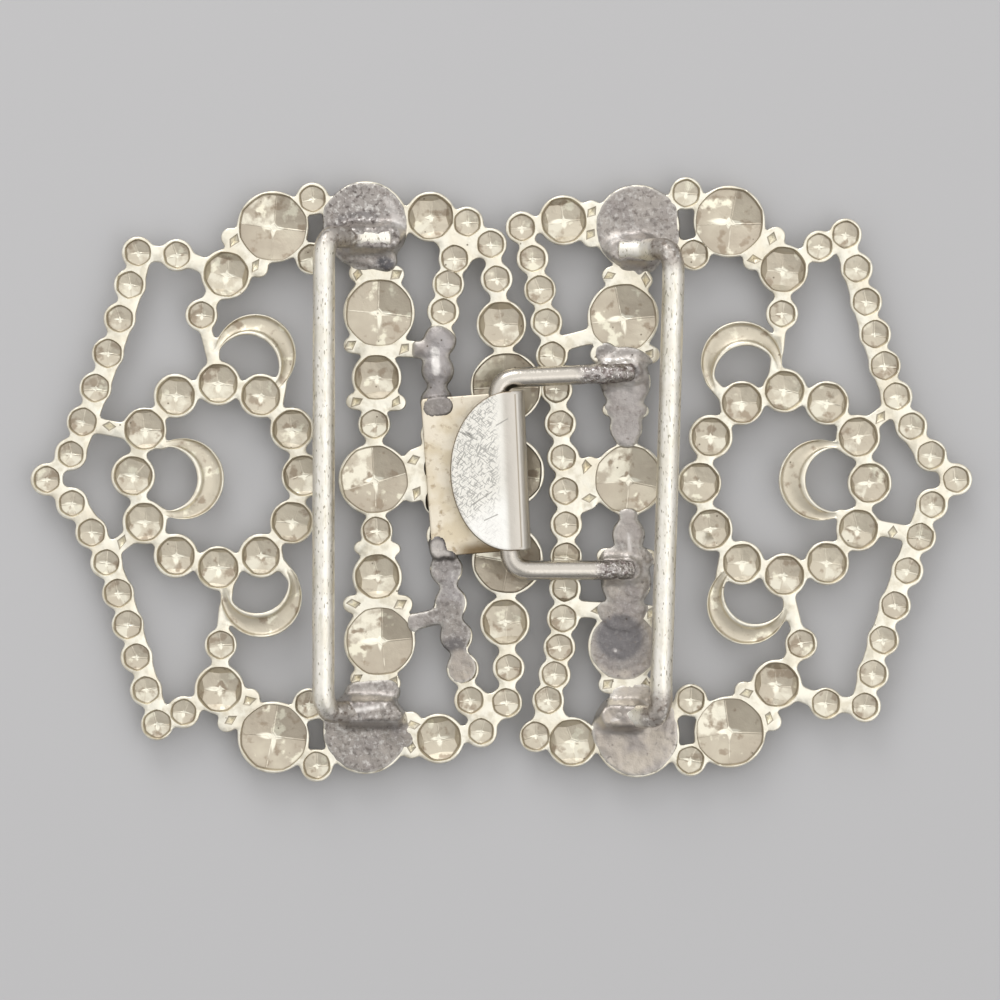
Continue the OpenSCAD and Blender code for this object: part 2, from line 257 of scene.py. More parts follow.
# Fields: grids that hold the distance to a shape's edge, below zero inside it
class Field:
    """A grid of distances in a box, with its contour and its gradient."""

    def __init__(self, low, high):
        self.low = np.array(low, float)
        count = np.ceil((np.array(high) - self.low) / GRID).astype(int) + 1
        self.x = self.low[0] + GRID * np.arange(count[0])
        self.y = self.low[1] + GRID * np.arange(count[1])
        self.d = np.full((count[1], count[0]), 2.0)

    def add(self, places, reach, distance):
        """Joins a shape that lies within reach of places; distance works on arrays of x and y."""
        margin = 1.5
        low = np.min(places, 0) - reach - margin
        high = np.max(places, 0) + reach + margin
        i0, i1 = np.searchsorted(self.x, (low[0], high[0]))
        j0, j1 = np.searchsorted(self.y, (low[1], high[1]))
        part = self.d[j0:j1, i0:i1]
        xs, ys = np.meshgrid(self.x[i0:i1], self.y[j0:j1])
        np.minimum(part, distance(xs, ys), out=part)

    def disc(self, c, r):
        self.add([c[:2]], r, lambda x, y: np.hypot(x - c[0], y - c[1]) - r)

    def strip(self, a, b, w):
        """A web with round ends."""
        a, b = np.array(a[:2], float), np.array(b[:2], float)
        way = b - a

        def distance(x, y):
            t = np.clip(((x - a[0]) * way[0] + (y - a[1]) * way[1]) / (way @ way), 0, 1)
            return np.hypot(x - a[0] - t * way[0], y - a[1] - t * way[1]) - w / 2
        self.add([a, b], w / 2, distance)

    def strips(self, places, w):
        """Webs from each place to the next."""
        for a, b in zip(places, places[1:]):
            self.strip(a, b, w)

    def crescent(self, outer, hole, r, hole_r):
        def distance(x, y):
            inner = hole_r - np.hypot(x - hole[0], y - hole[1])
            return np.maximum(np.hypot(x - outer[0], y - outer[1]) - r, inner)
        self.add([outer], r, distance)

    def soften(self, size):
        """Rounds the corners of the shape."""
        weights = bell(size, GRID)
        reach = len(weights) // 2
        for axis in (0, 1):
            self.d = np.apply_along_axis(
                lambda line: np.convolve(np.pad(line, reach, "edge"), weights, "valid"), axis, self.d)

    def at(self, p):
        """The distance at points, between the grid's nodes too."""
        u = np.clip((p[:, 0] - self.low[0]) / GRID, 0, len(self.x) - 1.001)
        v = np.clip((p[:, 1] - self.low[1]) / GRID, 0, len(self.y) - 1.001)
        i, j = u.astype(int), v.astype(int)
        s, t = u - i, v - j
        d = self.d
        near = d[j, i] * (1 - s) + d[j, i + 1] * s
        far = d[j + 1, i] * (1 - s) + d[j + 1, i + 1] * s
        return near * (1 - t) + far * t

    def outward(self, p):
        """The way out of the shape at points."""
        h = GRID
        way = np.stack([
            self.at(p + (h, 0)) - self.at(p - (h, 0)),
            self.at(p + (0, h)) - self.at(p - (0, h)),
        ], 1) / (2 * h)
        return way / np.maximum(np.linalg.norm(way, axis=1, keepdims=True), 0.2)

    def contours(self):
        """Closed loops of evenly spaced points on the shape's edge."""
        inside = self.d < 0
        rows, columns = np.nonzero(
            (inside[:-1, :-1] != inside[1:, 1:]) | (inside[:-1, 1:] != inside[1:, :-1])
            | (inside[:-1, :-1] != inside[:-1, 1:]))
        after = {}
        for j, i in zip(rows.tolist(), columns.tolist()):
            corners = [(j, i), (j, i + 1), (j + 1, i + 1), (j + 1, i)]
            state = [inside[c] for c in corners]
            for k in range(4):
                if state[k] and not state[(k + 1) % 4]:
                    m = next(n % 4 for n in range(k + 1, k + 4) if not state[n % 4] and state[(n + 1) % 4])
                    after[corners[k], corners[(k + 1) % 4]] = (corners[(m + 1) % 4], corners[m])
        loops = []
        while after:
            start = key = next(iter(after))
            points = []
            while key in after:
                (j0, i0), (j1, i1) = key
                t = self.d[j0, i0] / (self.d[j0, i0] - self.d[j1, i1])
                ends = zip((self.x[i0], self.y[j0]), (self.x[i1], self.y[j1]))
                points.append([a + t * (b - a) for a, b in ends])
                key = after.pop(key)
            if key == start and len(points) > 8:
                loops.append(self.even(np.array(points)))
        return loops

    def even(self, loop):
        """The same loop with points a fixed step apart, on the shape's edge."""
        closed = np.vstack([loop, loop[:1]])
        length = lengths(closed)
        count = max(8, int(length[-1] / OUTLINE_STEP))
        spots = np.linspace(0, length[-1], count, endpoint=False)
        points = np.stack([np.interp(spots, length, closed[:, k]) for k in (0, 1)], 1)
        for _ in range(2):
            points = points - self.outward(points) * self.at(points)[:, None]
        return points


class Plan:
    """Points and lines in the plane, for one triangulation."""

    def __init__(self):
        self.points = []
        self.lines = []
        self.count = 0

    def add(self, points):
        """Adds points and gives the number of the first."""
        self.points.append(np.asarray(points, float))
        self.count += len(points)
        return self.count - len(points)

    def path(self, points):
        first = self.add(points)
        self.lines += [(k, k + 1) for k in range(first, self.count - 1)]
        return first

    def loop(self, points):
        first = self.path(points)
        self.lines.append((self.count - 1, first))
        return first

    def triangles(self, field):
        """The points and the triangles that lie in the field's shape."""
        points = np.round(np.vstack(self.points), 5)
        made = delaunay_2d_cdt([Vector(p) for p in points], self.lines, [], 0, 1e-4)
        points = np.array([tuple(p) for p in made[0]])
        faces = np.array(made[2])
        a, b, c = (points[faces[:, k]] for k in range(3))
        area = np.cross(b - a, c - a)
        faces[area < 0] = faces[area < 0][:, ::-1]
        keep = (field.at((a + b + c) / 3) < 0) & (np.abs(area) > 1e-7)
        faces = faces[keep]
        used, inverse = np.unique(faces, return_inverse=True)
        return points[used], inverse.reshape(-1, 3)


def make_object(name, verts, faces, attributes):
    """A smooth object; verts are millimetres, and each attribute has a number for each of them."""
    mesh = bpy.data.meshes.new(name)
    mesh.from_pydata((verts * MM).tolist(), [], faces)
    mesh.polygons.foreach_set("use_smooth", np.ones(len(faces), bool))
    for label, values in attributes.items():
        made = mesh.attributes.new(label, "FLOAT", "POINT")
        made.data.foreach_set("value", values.astype(np.float32))
    piece = bpy.data.objects.new(name, mesh)
    bpy.context.scene.collection.objects.link(piece)
    return piece


def solid(name, points, faces, top, bottom, patch, attributes):
    """A closed piece between two heights; patch numbers the facets, whose borders stay sharp."""
    n = len(points)
    verts = np.vstack([np.column_stack([points, top]), np.column_stack([points, bottom])])
    edges = np.concatenate([faces[:, [k, (k + 1) % 3]] for k in range(3)])
    owner = np.tile(np.arange(len(faces)), 3)
    key = edges.min(1).astype(np.int64) * n + edges.max(1)
    order = np.argsort(key, kind="stable")
    key, edges, owner = key[order], edges[order], owner[order]
    same = key[1:] == key[:-1]
    lone = np.ones(len(key), bool)
    lone[1:] &= ~same
    lone[:-1] &= ~same
    rim = edges[lone]
    walls = np.concatenate([
        np.column_stack([rim[:, 1], rim[:, 0], rim[:, 0] + n]),
        np.column_stack([rim[:, 1], rim[:, 0] + n, rim[:, 1] + n])])
    every = np.concatenate([faces, faces[:, ::-1] + n, walls])
    doubled = {label: np.concatenate([values, values]) for label, values in attributes.items()}
    piece = make_object(name, verts, every.tolist(), doubled)
    mesh = piece.data
    pairs = np.nonzero(same)[0]
    creased = key[pairs[patch[owner[pairs]] != patch[owner[pairs + 1]]]]
    ends = np.zeros(len(mesh.edges) * 2, np.int32)
    mesh.edges.foreach_get("vertices", ends)
    ends = ends.reshape(-1, 2)
    level = (ends >= n).all(1) | (ends < n).all(1)
    ends = ends % n
    own = ends.min(1).astype(np.int64) * n + ends.max(1)
    sharp = mesh.attributes.new("sharp_edge", "BOOLEAN", "EDGE")
    sharp.data.foreach_set("value", np.isin(own, creased) & level)
    return piece


def rough(points, size, seed):
    """Smooth noise from -1 to 1 at points of the plane."""
    return np.array([noise.noise((p[0] / size, p[1] / size, seed)) for p in points]) * 1.6


class Stud:
    """One hollow stud; its facets stay upright in the half that is turned round."""

    def __init__(self, row, half, chance):
        self.c = np.array(row[:2])
        kind = row[2]
        radius, spread, self.corners, self.wall_share, self.wall_depth, rows = KINDS[kind]
        self.r = radius * (1 - spread + chance.uniform(-spread, spread))
        self.far = 1.1 * self.r
        self.turn = math.radians(chance.uniform(-TURN_SPREAD, TURN_SPREAD) + (180 if half < 0 else 0))
        self.is_large = kind in ("large", "boss")
        column = 3 if self.is_large else 2
        self.arms = np.array([(chance.uniform(*row[:2]), row[column]) for row in STAR_ARMS])
        facets, share = LIT_LARGE if self.is_large else LIT_OTHERS
        self.lit = [facet for facet in facets if chance.random() < share]
        self.wave = [(k, chance.uniform(-0.006, 0.006), chance.uniform(0, 6.3)) for k in (2, 3, 5)]
        tip = np.array([chance.uniform(-0.07, 0.07), chance.uniform(-0.1, 0.04)]) * self.r * half
        self.planes = []
        self.wall_count = 0
        for azimuths, share, depth, slope in rows:
            floor = slope < FLOOR_SLOPE
            self.wall_count += 0 if floor else len(azimuths)
            for azimuth in azimuths:
                azimuth = self.turn + math.radians(azimuth + chance.uniform(-AZIMUTH_SPREAD, AZIMUTH_SPREAD))
                spread = chance.uniform(-SLOPE_SPREAD, SLOPE_SPREAD) if slope else 0
                tilt = math.tan(math.radians(slope + spread))
                way = tilt * np.array([math.cos(azimuth), math.sin(azimuth)])
                shift = way @ tip if floor else 0
                self.planes.append((depth + tilt * share * self.r + shift, *way))
        self.planes = np.array(self.planes)

    def radius(self, angle):
        """The outline's radius, between a circle's and a polygon's."""
        side = 2 * math.pi / self.corners
        off = (angle - self.turn + side / 2) % side - side / 2
        polygon = (1 + math.cos(side / 2)) / 2 / np.cos(off)
        size = 1 - STRAIGHT + STRAIGHT * polygon
        for k, amount, phase in self.wave:
            size = size + amount * np.sin(k * angle + phase)
        return self.r * size

    def facets(self, p):
        """The depth of each facet's plane below the rim, at points from the centre."""
        return self.planes[:, 0] - p @ self.planes[:, 1:].T

    def wall(self, p):
        far, angle = polar(p)
        return (1 - far / self.radius(angle)) / (1 - self.wall_share) * self.wall_depth

    def depth(self, points):
        """Depth and facet at points; the wall is facet -2, outside is -1, and all ridges are facet 20."""
        p = points - self.c
        wall = self.wall(p)
        each = self.facets(p)
        low = each.min(1)
        ridge = self.ridge(p)
        facet = np.where(wall < low, -2, np.where(ridge > 0.02, 20, each.argmin(1)))
        deep = np.minimum(wall, low - RIDGE_H * ridge)
        return np.maximum(deep, 0), np.where(wall <= 0, -1, facet)

    def ridge(self, p):
        """1 on the lines between floor facets and 0 away from them."""
        each = self.facets(p)
        order = np.argsort(each, 1)
        first, second = order[:, 0], order[:, 1]
        rows = np.arange(len(p))
        step = np.linalg.norm(self.planes[first, 1:] - self.planes[second, 1:], axis=1)
        gap = (each[rows, second] - each[rows, first]) / np.maximum(step, 1e-6)
        on_floor = (first >= self.wall_count) & (second >= self.wall_count) & (self.wall(p) > each.min(1))
        sharp = np.clip(step / RIDGE_SLOPE, 0, 1)
        return np.where(on_floor, np.clip(1 - gap / RIDGE_W, 0, 1) * sharp, 0)

    def star_reach(self, angle):
        """How far the painted highlight star reaches from the centre."""
        quarter = np.round((angle - self.turn) / (math.pi / 2))
        off = np.abs(angle - self.turn - quarter * math.pi / 2) / (math.pi / 4)
        arm, sharpness = self.arms[quarter.astype(int) % 4].T
        return self.r * (STAR_CORE + arm * np.clip(1 - off, 0, 1) ** sharpness)

    def star(self, p):
        """1 well inside the painted highlight star, 0 outside it."""
        far, angle = polar(p)
        return np.clip((1 - far / self.star_reach(angle)) / STAR_FADE, 0, 1)

    def groove(self, p):
        """1 at the foot of the steep edge, falling to 0 at the rim and a little way in; it marks dirt and
        painted shade.
        """
        far, angle = polar(p)
        foot, edge = self.foot(angle), self.radius(angle)
        outer = (edge - far) / np.maximum(edge - foot, 1e-6)
        return np.clip(np.where(far > foot, outer, 1 - (foot - far) / GROOVE_W), 0, 1)

    def foot(self, angle):
        """Where the wall meets the facets, as a radius."""
        edge = self.radius(angle)
        steep = self.wall_depth / (1 - self.wall_share)
        ways = unit_ways(angle) @ self.planes[:, 1:].T
        meet = (steep - self.planes[:, 0]) / (steep / edge[:, None] - ways)
        return meet.max(1)

    def draw(self, plan):
        """Adds the rim, the foot of the wall, the borders of the facets and the star."""
        count = int(2 * math.pi * self.r / RIM_STEP)
        angle = np.arange(count) * 2 * math.pi / count
        rays = unit_ways(angle)
        foot = self.foot(angle)
        for reach in (self.radius(angle), foot, foot - GROOVE_W):
            plan.loop(self.c + rays * reach[:, None])
        star_angle = self.turn + np.arange(32) * math.pi / 16
        for share in (1 - STAR_FADE, 1):
            plan.loop(self.c + unit_ways(star_angle) * (share * self.star_reach(star_angle))[:, None])
        for i in range(len(self.planes)):
            for inset in (0, RIDGE_W) if i >= self.wall_count else (0,):
                shape = rays * foot[:, None]
                for j in range(len(self.planes)):
                    if i != j and len(shape):
                        gap = self.planes[j] - self.planes[i]
                        if j >= self.wall_count:
                            gap[0] -= inset * np.linalg.norm(gap[1:])
                        shape = clip(shape, gap)
                if len(shape) > 2:
                    plan.loop(self.c + shape)


def clip(shape, plane):
    """The part of a polygon where plane[0] - p . plane[1:] isn't below zero."""
    value = plane[0] - shape @ plane[1:]
    out = []
    for k in range(len(shape)):
        a, b = shape[k - 1], shape[k]
        va, vb = value[k - 1], value[k]
        if (va < 0) != (vb < 0):
            out.append(a + (b - a) * va / (va - vb))
        if vb >= 0:
            out.append(b)
    return np.array(out)


class Crescent:
    """A hollow crescent between two arcs."""
    # columns: share of the way from the hole to the outer edge, share of the depth
    PROFILE = [
        (0, 0), (0.15, 0), (0.21, 0.5), (0.31, 0.68), (0.5, 0.88),
        (0.75, 1), (0.88, 0.85), (0.94, 0), (1, 0),
    ]
    # Least width that is hollow
    LEAST = 0.35

    def __init__(self, outer, hole):
        self.outer, self.hole = np.array(outer), np.array(hole)

    def reach(self, ways):
        """Distance from the hole's centre to the outer arc."""
        gap = self.hole - self.outer
        b = ways @ gap
        return -b + np.sqrt(np.maximum(b * b - gap @ gap + CRESCENT_R ** 2, 0))

    def depth(self, points):
        p = points - self.hole
        far = np.hypot(p[:, 0], p[:, 1])
        ways = p / np.maximum(far, 1e-6)[:, None]
        width = self.reach(ways) - CRESCENT_HOLE_R
        t = (far - CRESCENT_HOLE_R) / np.maximum(width, 1e-6)
        shares = np.interp(t, *np.transpose(self.PROFILE))
        fade = np.clip((width - self.LEAST) / 0.9, 0, 1)
        return np.where((t > 0) & (t < 1) & (width > self.LEAST), shares * CRESCENT_DEPTH * fade, 0)

    def draw(self, plan):
        middle = math.atan2(*(self.outer - self.hole)[::-1])
        angle = middle + np.linspace(-2.4, 2.4, 73)
        ways = unit_ways(angle)
        width = self.reach(ways) - CRESCENT_HOLE_R
        ways, width = ways[width > 0.4], width[width > 0.4]
        for share, _ in self.PROFILE[1:-1]:
            plan.path(self.hole + ways * (CRESCENT_HOLE_R + share * width)[:, None])


class Grain:
    """A small pit with four flat sides."""
    # Where its dirt and painted shade start and end, as shares of its size
    DIRT_AND_SHADE_FROM = 0.65
    DIRT_AND_SHADE_TO = 1.12

    def __init__(self, c, chance):
        self.c = np.array(c)
        self.far = 1.6 * GRAIN_R
        first = chance.uniform(0, math.pi / 2)
        turns = [first + k * math.pi / 2 + chance.uniform(-0.3, 0.3) for k in range(4)]
        reach = [GRAIN_R * chance.uniform(*ends) for ends in ((1, 1.35), (0.65, 0.9)) * 2]
        self.shape = np.array([(r * math.cos(a), r * math.sin(a)) for r, a in zip(reach, turns)])

    def shares(self, p):
        """For each side, 0 at the centre and 1 on the side."""
        shares = []
        for k in range(4):
            a, b = self.shape[k - 1], self.shape[k]
            out = np.array([b[1] - a[1], a[0] - b[0]])
            shares.append(p @ out / (a @ out))
        return np.array(shares)

    def depth(self, points):
        shares = self.shares(points - self.c)
        share = shares.max(0)
        return np.clip(1 - share, 0, 1) * GRAIN_DEPTH, np.where(share < 1, np.argmax(shares, 0), -1)

    def groove(self, p):
        """1 on the outline, falling to 0 on both sides; it marks dirt and painted shade."""
        share = self.shares(p).max(0)
        inner = (share - self.DIRT_AND_SHADE_FROM) / (1 - self.DIRT_AND_SHADE_FROM)
        outer = (self.DIRT_AND_SHADE_TO - share) / (self.DIRT_AND_SHADE_TO - 1)
        return np.clip(np.where(share < 1, inner, outer), 0, 1)

    def draw(self, plan):
        plan.loop(self.c + self.shape * self.DIRT_AND_SHADE_TO)
        plan.loop(self.c + self.shape * self.DIRT_AND_SHADE_FROM)
        first = plan.loop(self.c + self.shape)
        centre = plan.add([self.c])
        plan.lines += [(centre, first + k) for k in range(4)]


def sheet_field(studs, with_middle):
    """The outline of one half, with its holes."""
    field = Field((-41, -27.5), (5, 27.5))
    for s in studs:
        field.disc(s, KINDS[s[2]][0] + RIM_W)
    edge_studs = {s for c in CHAINS[:2] for s in chain(c)}
    for i, a in enumerate(studs):
        for b in studs[i + 1:]:
            gap = math.dist(a[:2], b[:2]) - KINDS[a[2]][0] - KINDS[b[2]][0]
            if gap < WEB_REACH and not (a in edge_studs and b in edge_studs):
                field.strip(a, b, WEB_W)
    for row in CHAINS[:2]:
        field.strips([(s[0] + CHAIN_SHIFT, s[1]) for s in chain(row)], EDGE_WEB_W)
    for x0, y0, x1, y1, w in ARMS + (MIDDLE_ARMS if with_middle else []):
        field.strip((x0, y0), (x1, y1), w)
    for outer, hole, spots in CRESCENTS:
        field.crescent(outer, hole, CRESCENT_R, CRESCENT_HOLE_R)
        field.strips(spots, HORN_W)
    for ends in HORNS:
        field.strips(ends, HORN_W)
    field.soften(FILLET)
    return field


def edge_drop(field, points):
    """How far the rounded edge lies below a flat top, at points."""
    inset = np.clip(-field.at(points), 0, EDGE_ROUND)
    return EDGE_ROUND - np.sqrt(EDGE_ROUND ** 2 - (EDGE_ROUND - inset) ** 2)


def stamping(name, with_middle, half, seed):
    """One half's pierced sheet with its hollow studs; half is -1 where it is turned half round."""
    chance = random.Random(seed)
    rows = STUDS + ring() + [s for c in CHAINS for s in chain(c)] + (MIDDLE_STUDS if with_middle else [])
    field = sheet_field(rows, with_middle)
    plan = Plan()
    for loop in field.contours():
        way = field.outward(loop)
        for inset in (0, 0.3, 1):
            plan.loop(loop - way * EDGE_ROUND * inset)
    studs = [Stud(row, half, chance) for row in rows]
    crescents = [Crescent(*row[:2]) for row in CRESCENTS]
    grains = [Grain(c, chance) for c in GRAINS]
    for shape in studs + crescents + grains:
        shape.draw(plan)
    points, faces = plan.triangles(field)

    depth = np.zeros(len(points))
    marks = {label: np.zeros(len(points)) for label in ("hollow", "groove", "ridge", "star", "tone", "lit")}
    middle = points[faces].mean(1)
    patch = np.full(len(faces), -1)
    for number, shape in enumerate(studs + grains):
        near = np.nonzero(np.hypot(*(points - shape.c).T) < shape.far)[0]
        p = points[near] - shape.c
        deep, facet = shape.depth(points[near])
        depth[near] = np.maximum(depth[near], deep)
        found = {"groove": shape.groove(p)}
        if isinstance(shape, Stud):
            inside = np.clip(deep / (1.8 * min(shape.wall_depth, HOLLOW_DEPTH)), 0, 1)
            lit = np.isin(facet, shape.lit)
            # The ridge, star and lit marks carry painted highlights
            found.update({"hollow": inside, "ridge": shape.ridge(p), "star": shape.star(p), "lit": lit})
            tone = chance.uniform(*STUD_TONE["large" if shape.is_large else "others"])
            marks["tone"][near] = np.where(inside > 0, tone, marks["tone"][near])
        for label, values in found.items():
            marks[label][near] = np.maximum(marks[label][near], values)
        near = np.nonzero(np.hypot(*(middle - shape.c).T) < shape.far)[0]
        _, facet = shape.depth(middle[near])
        own = facet != -1
        patch[near[own]] = number * 32 + facet[own] + 2
    for shape in crescents:
        deep = shape.depth(points)
        depth = np.maximum(depth, deep)
        np.maximum(marks["hollow"], np.clip(deep / HOLLOW_DEPTH, 0, 1), out=marks["hollow"])
    rounding = edge_drop(field, points)
    sway = 0.03 * rough(points, 4, seed)
    top = BACK_Z + sway - depth - rounding
    thick = SHEET_T - (SHEET_T - BOWL_T) * np.clip(depth / HOLLOW_DEPTH, 0, 1)
    bottom = BACK_Z - depth - thick + rounding
    return solid(name, points * half, faces, top, bottom, patch, marks), field


# A wire's cut end. columns: distance from the cut face, share of the radius
CUT_END = [(0, 0.001), (0, 0.8), (0.04, 0.94), (0.12, 1)]


def smooth_route(points, step, softness):
    """The line through points, with its corners rounded, as places a step apart."""
    points = np.array(points, float)
    length = lengths(points)
    spots = np.linspace(0, length[-1], int(length[-1] / step))
    places = np.stack([np.interp(spots, length, points[:, k]) for k in range(3)], 1)
    weights = bell(softness, step)
    steps = np.arange(len(weights) // 2, 0, -1)[:, None]
    before = places[0] - steps * (places[1] - places[0])
    after = places[-1] + steps[::-1] * (places[-1] - places[-2])
    padded = np.vstack([before, places, after])
    return np.stack([np.convolve(padded[:, k], weights, "valid") for k in range(3)], 1)


def wire(name, route, radius, seed, coat, lumps):
    """A round wire with cut ends; coat gives its solder, from 0 to 1, by the distance from each end."""
    sides = 28
    places = smooth_route(route, step=0.2, softness=0.42)
    way = np.gradient(places, axis=0)
    way /= np.linalg.norm(way, axis=1, keepdims=True)
    side = np.cross(way, (0, 0, 1))
    side /= np.linalg.norm(side, axis=1, keepdims=True)
    rise = np.cross(side, way)
    length = lengths(places)
    turn = np.arange(sides) * 2 * math.pi / sides
    rings, shares = [], []

    def add(i, shift, share):
        centre = places[i] + way[i] * shift
        solder_here = coat(length[i], length[-1] - length[i])
        rays = np.outer(np.cos(turn), side[i]) + np.outer(np.sin(turn), rise[i])
        wave = [0.008 * noise.noise(p / 2.5 + seed) + lumps * solder_here * noise.noise(p * 1.6 + seed)
                for p in centre + rays * radius]
        rings.append(centre + rays * (radius * share * (1 + np.array(wave)))[:, None])
        shares.append(solder_here)
    last = len(places) - 1
    for shift, share in CUT_END:
        add(0, shift, share)
    for i in range(1, last):
        add(i, 0, 1)
    for shift, share in reversed(CUT_END):
        add(last, -shift, share)
    faces = []
    for i in range(len(rings) - 1):
        for j in range(sides):
            k = (j + 1) % sides
            faces.append((i * sides + j, i * sides + k, (i + 1) * sides + k, (i + 1) * sides + j))
    n = len(rings) * sides
    faces += [tuple(range(sides - 1, -1, -1)), tuple(range(n - sides, n))]
    return make_object(name, np.vstack(rings), faces, {"coat": np.repeat(shares, sides)})


def between(value, low, high):
    """0 below low, 1 above high, and smooth between them."""
    t = np.clip((value - low) / (high - low), 0, 1)
    return t * t * (3 - 2 * t)


BAR_D = 1.84
BAR_Z = 5
# Strap bars. columns: foot x and y, bar x, height of the bend, way of the bar from here (1 is down),
# start and end of the bare stretch from the foot (-1 and -1 is none), how the solder climbs
HOOK_BAR = [
    (-9.3, 20.1, -14.7, 4.8, 1, -1, 2.6, "bare"),
    (-8.9, -19.3, -14.75, 4.3, -1, -1, -1, "coated"),
]
LOOP_BAR = [
    (9.9, 19.1, 14.25, 4.9, 1, -1, 3.3, "open"),
    (9.2, -19.7, 13.25, 4.6, -1, 1.7, 3.2, "coated"),
]


def bar_end(row):
    """One end of a strap bar: its foot in the solder, the rise, the bend and the start of the straight."""
    foot, y, x, bend_z, down = row[:5]
    foot_z = BACK_Z + BAR_D / 2
    half = math.copysign(1, x)
    return [
        (foot, y, foot_z - 0.8),
        (x - half * 2.3, y, foot_z - 0.25),
        (x - half * 0.4, y, bend_z),
        (x, y - down * 1.1, BAR_Z),
        (x, y - down * 3, BAR_Z),
    ]


def strap_bar(name, ends, seed):
    route = bar_end(ends[1]) + bar_end(ends[0])[::-1]

    def coat(low, high):
        s, start, end = min((low, *ends[1][5:7]), (high, *ends[0][5:7]))
        bare = between(s, start - 0.6, start + 0.2) * (1 - between(s, end - 0.1, end + 0.5))
        return float((1 - bare) * (1 - between(s, 5.6, 7)))
    return wire(name, route, BAR_D / 2, seed, coat, 0.06)


LOOP_D = 1.65
LOOP_BEND_R = 1.3
# Both ends of the wire, from their cut faces. columns: x, y, z
LOOP_FEET = [[(10.9, 8.95, 2.25), (8.8, 8.8, 3)], [(10.9, -7.5, 2.25), (8.8, -7.55, 3)]]
# Where the solder on each end starts to thin and where it ends, from the cut face
LOOP_COATS = [(3.6, 5.2), (2.4, 3.6)]
LOOP_BENDS = [(1, 7.15), (2, -6.25)]
# Hook plate
PLATE_T = 0.5
PLATE_Z = BACK_Z + 0.15
PLATE_H = 13.2
PLATE_LEFT = -6.45
PLATE_TURN = math.radians(2.5)
HOOK_C = (-2, 0.3)
FOLD_X = 2.2
FOLD_R = 1.95 / 2
FOLD_Z = PLATE_Z + PLATE_T + FOLD_R
TONGUE_RX = 4.95
# How far the side with the fold is shifted up, and how square the fold is, where 1 is round
TONGUE_LIFT = 0.3
FOLD_SQUARE = 0.75
# How far the lower left corner is shifted to the right
CORNER_SHIFT = 0.4
# How far the crease lies from where the tongue starts
CREASE_IN = 0.45
# Long scratches on the tongue. columns: distance from the fold and height of each end
LONG_SCRATCHES = [
    (3.2, -2.5, 1.6, -1.6),
    (0.9, 3.9, 0.1, 4.3),
    (4.1, 3.6, 2.6, 2.8),
    (4.3, 0.9, 3.7, 1.8),
    (2.3, -3.9, 1.2, -3.5),
]
SCRATCH_W = 0.14


def wire_loop():
    def bend(c, first):
        turns = [math.radians(first + 22.5 * k) for k in range(5)]
        return [(c[0] + LOOP_BEND_R * math.cos(a), c[1] + LOOP_BEND_R * math.sin(a), FOLD_Z) for a in turns]
    upper, lower = LOOP_FEET
    route = upper + bend(LOOP_BENDS[0], 90) + bend(LOOP_BENDS[1], 180) + lower[::-1]

    def coat(low, high):
        s, ends = min((low, LOOP_COATS[0]), (high, LOOP_COATS[1]))
        return float(1 - between(s, *ends))
    return wire("wire_loop", route, LOOP_D / 2, 5, coat, 0.15)


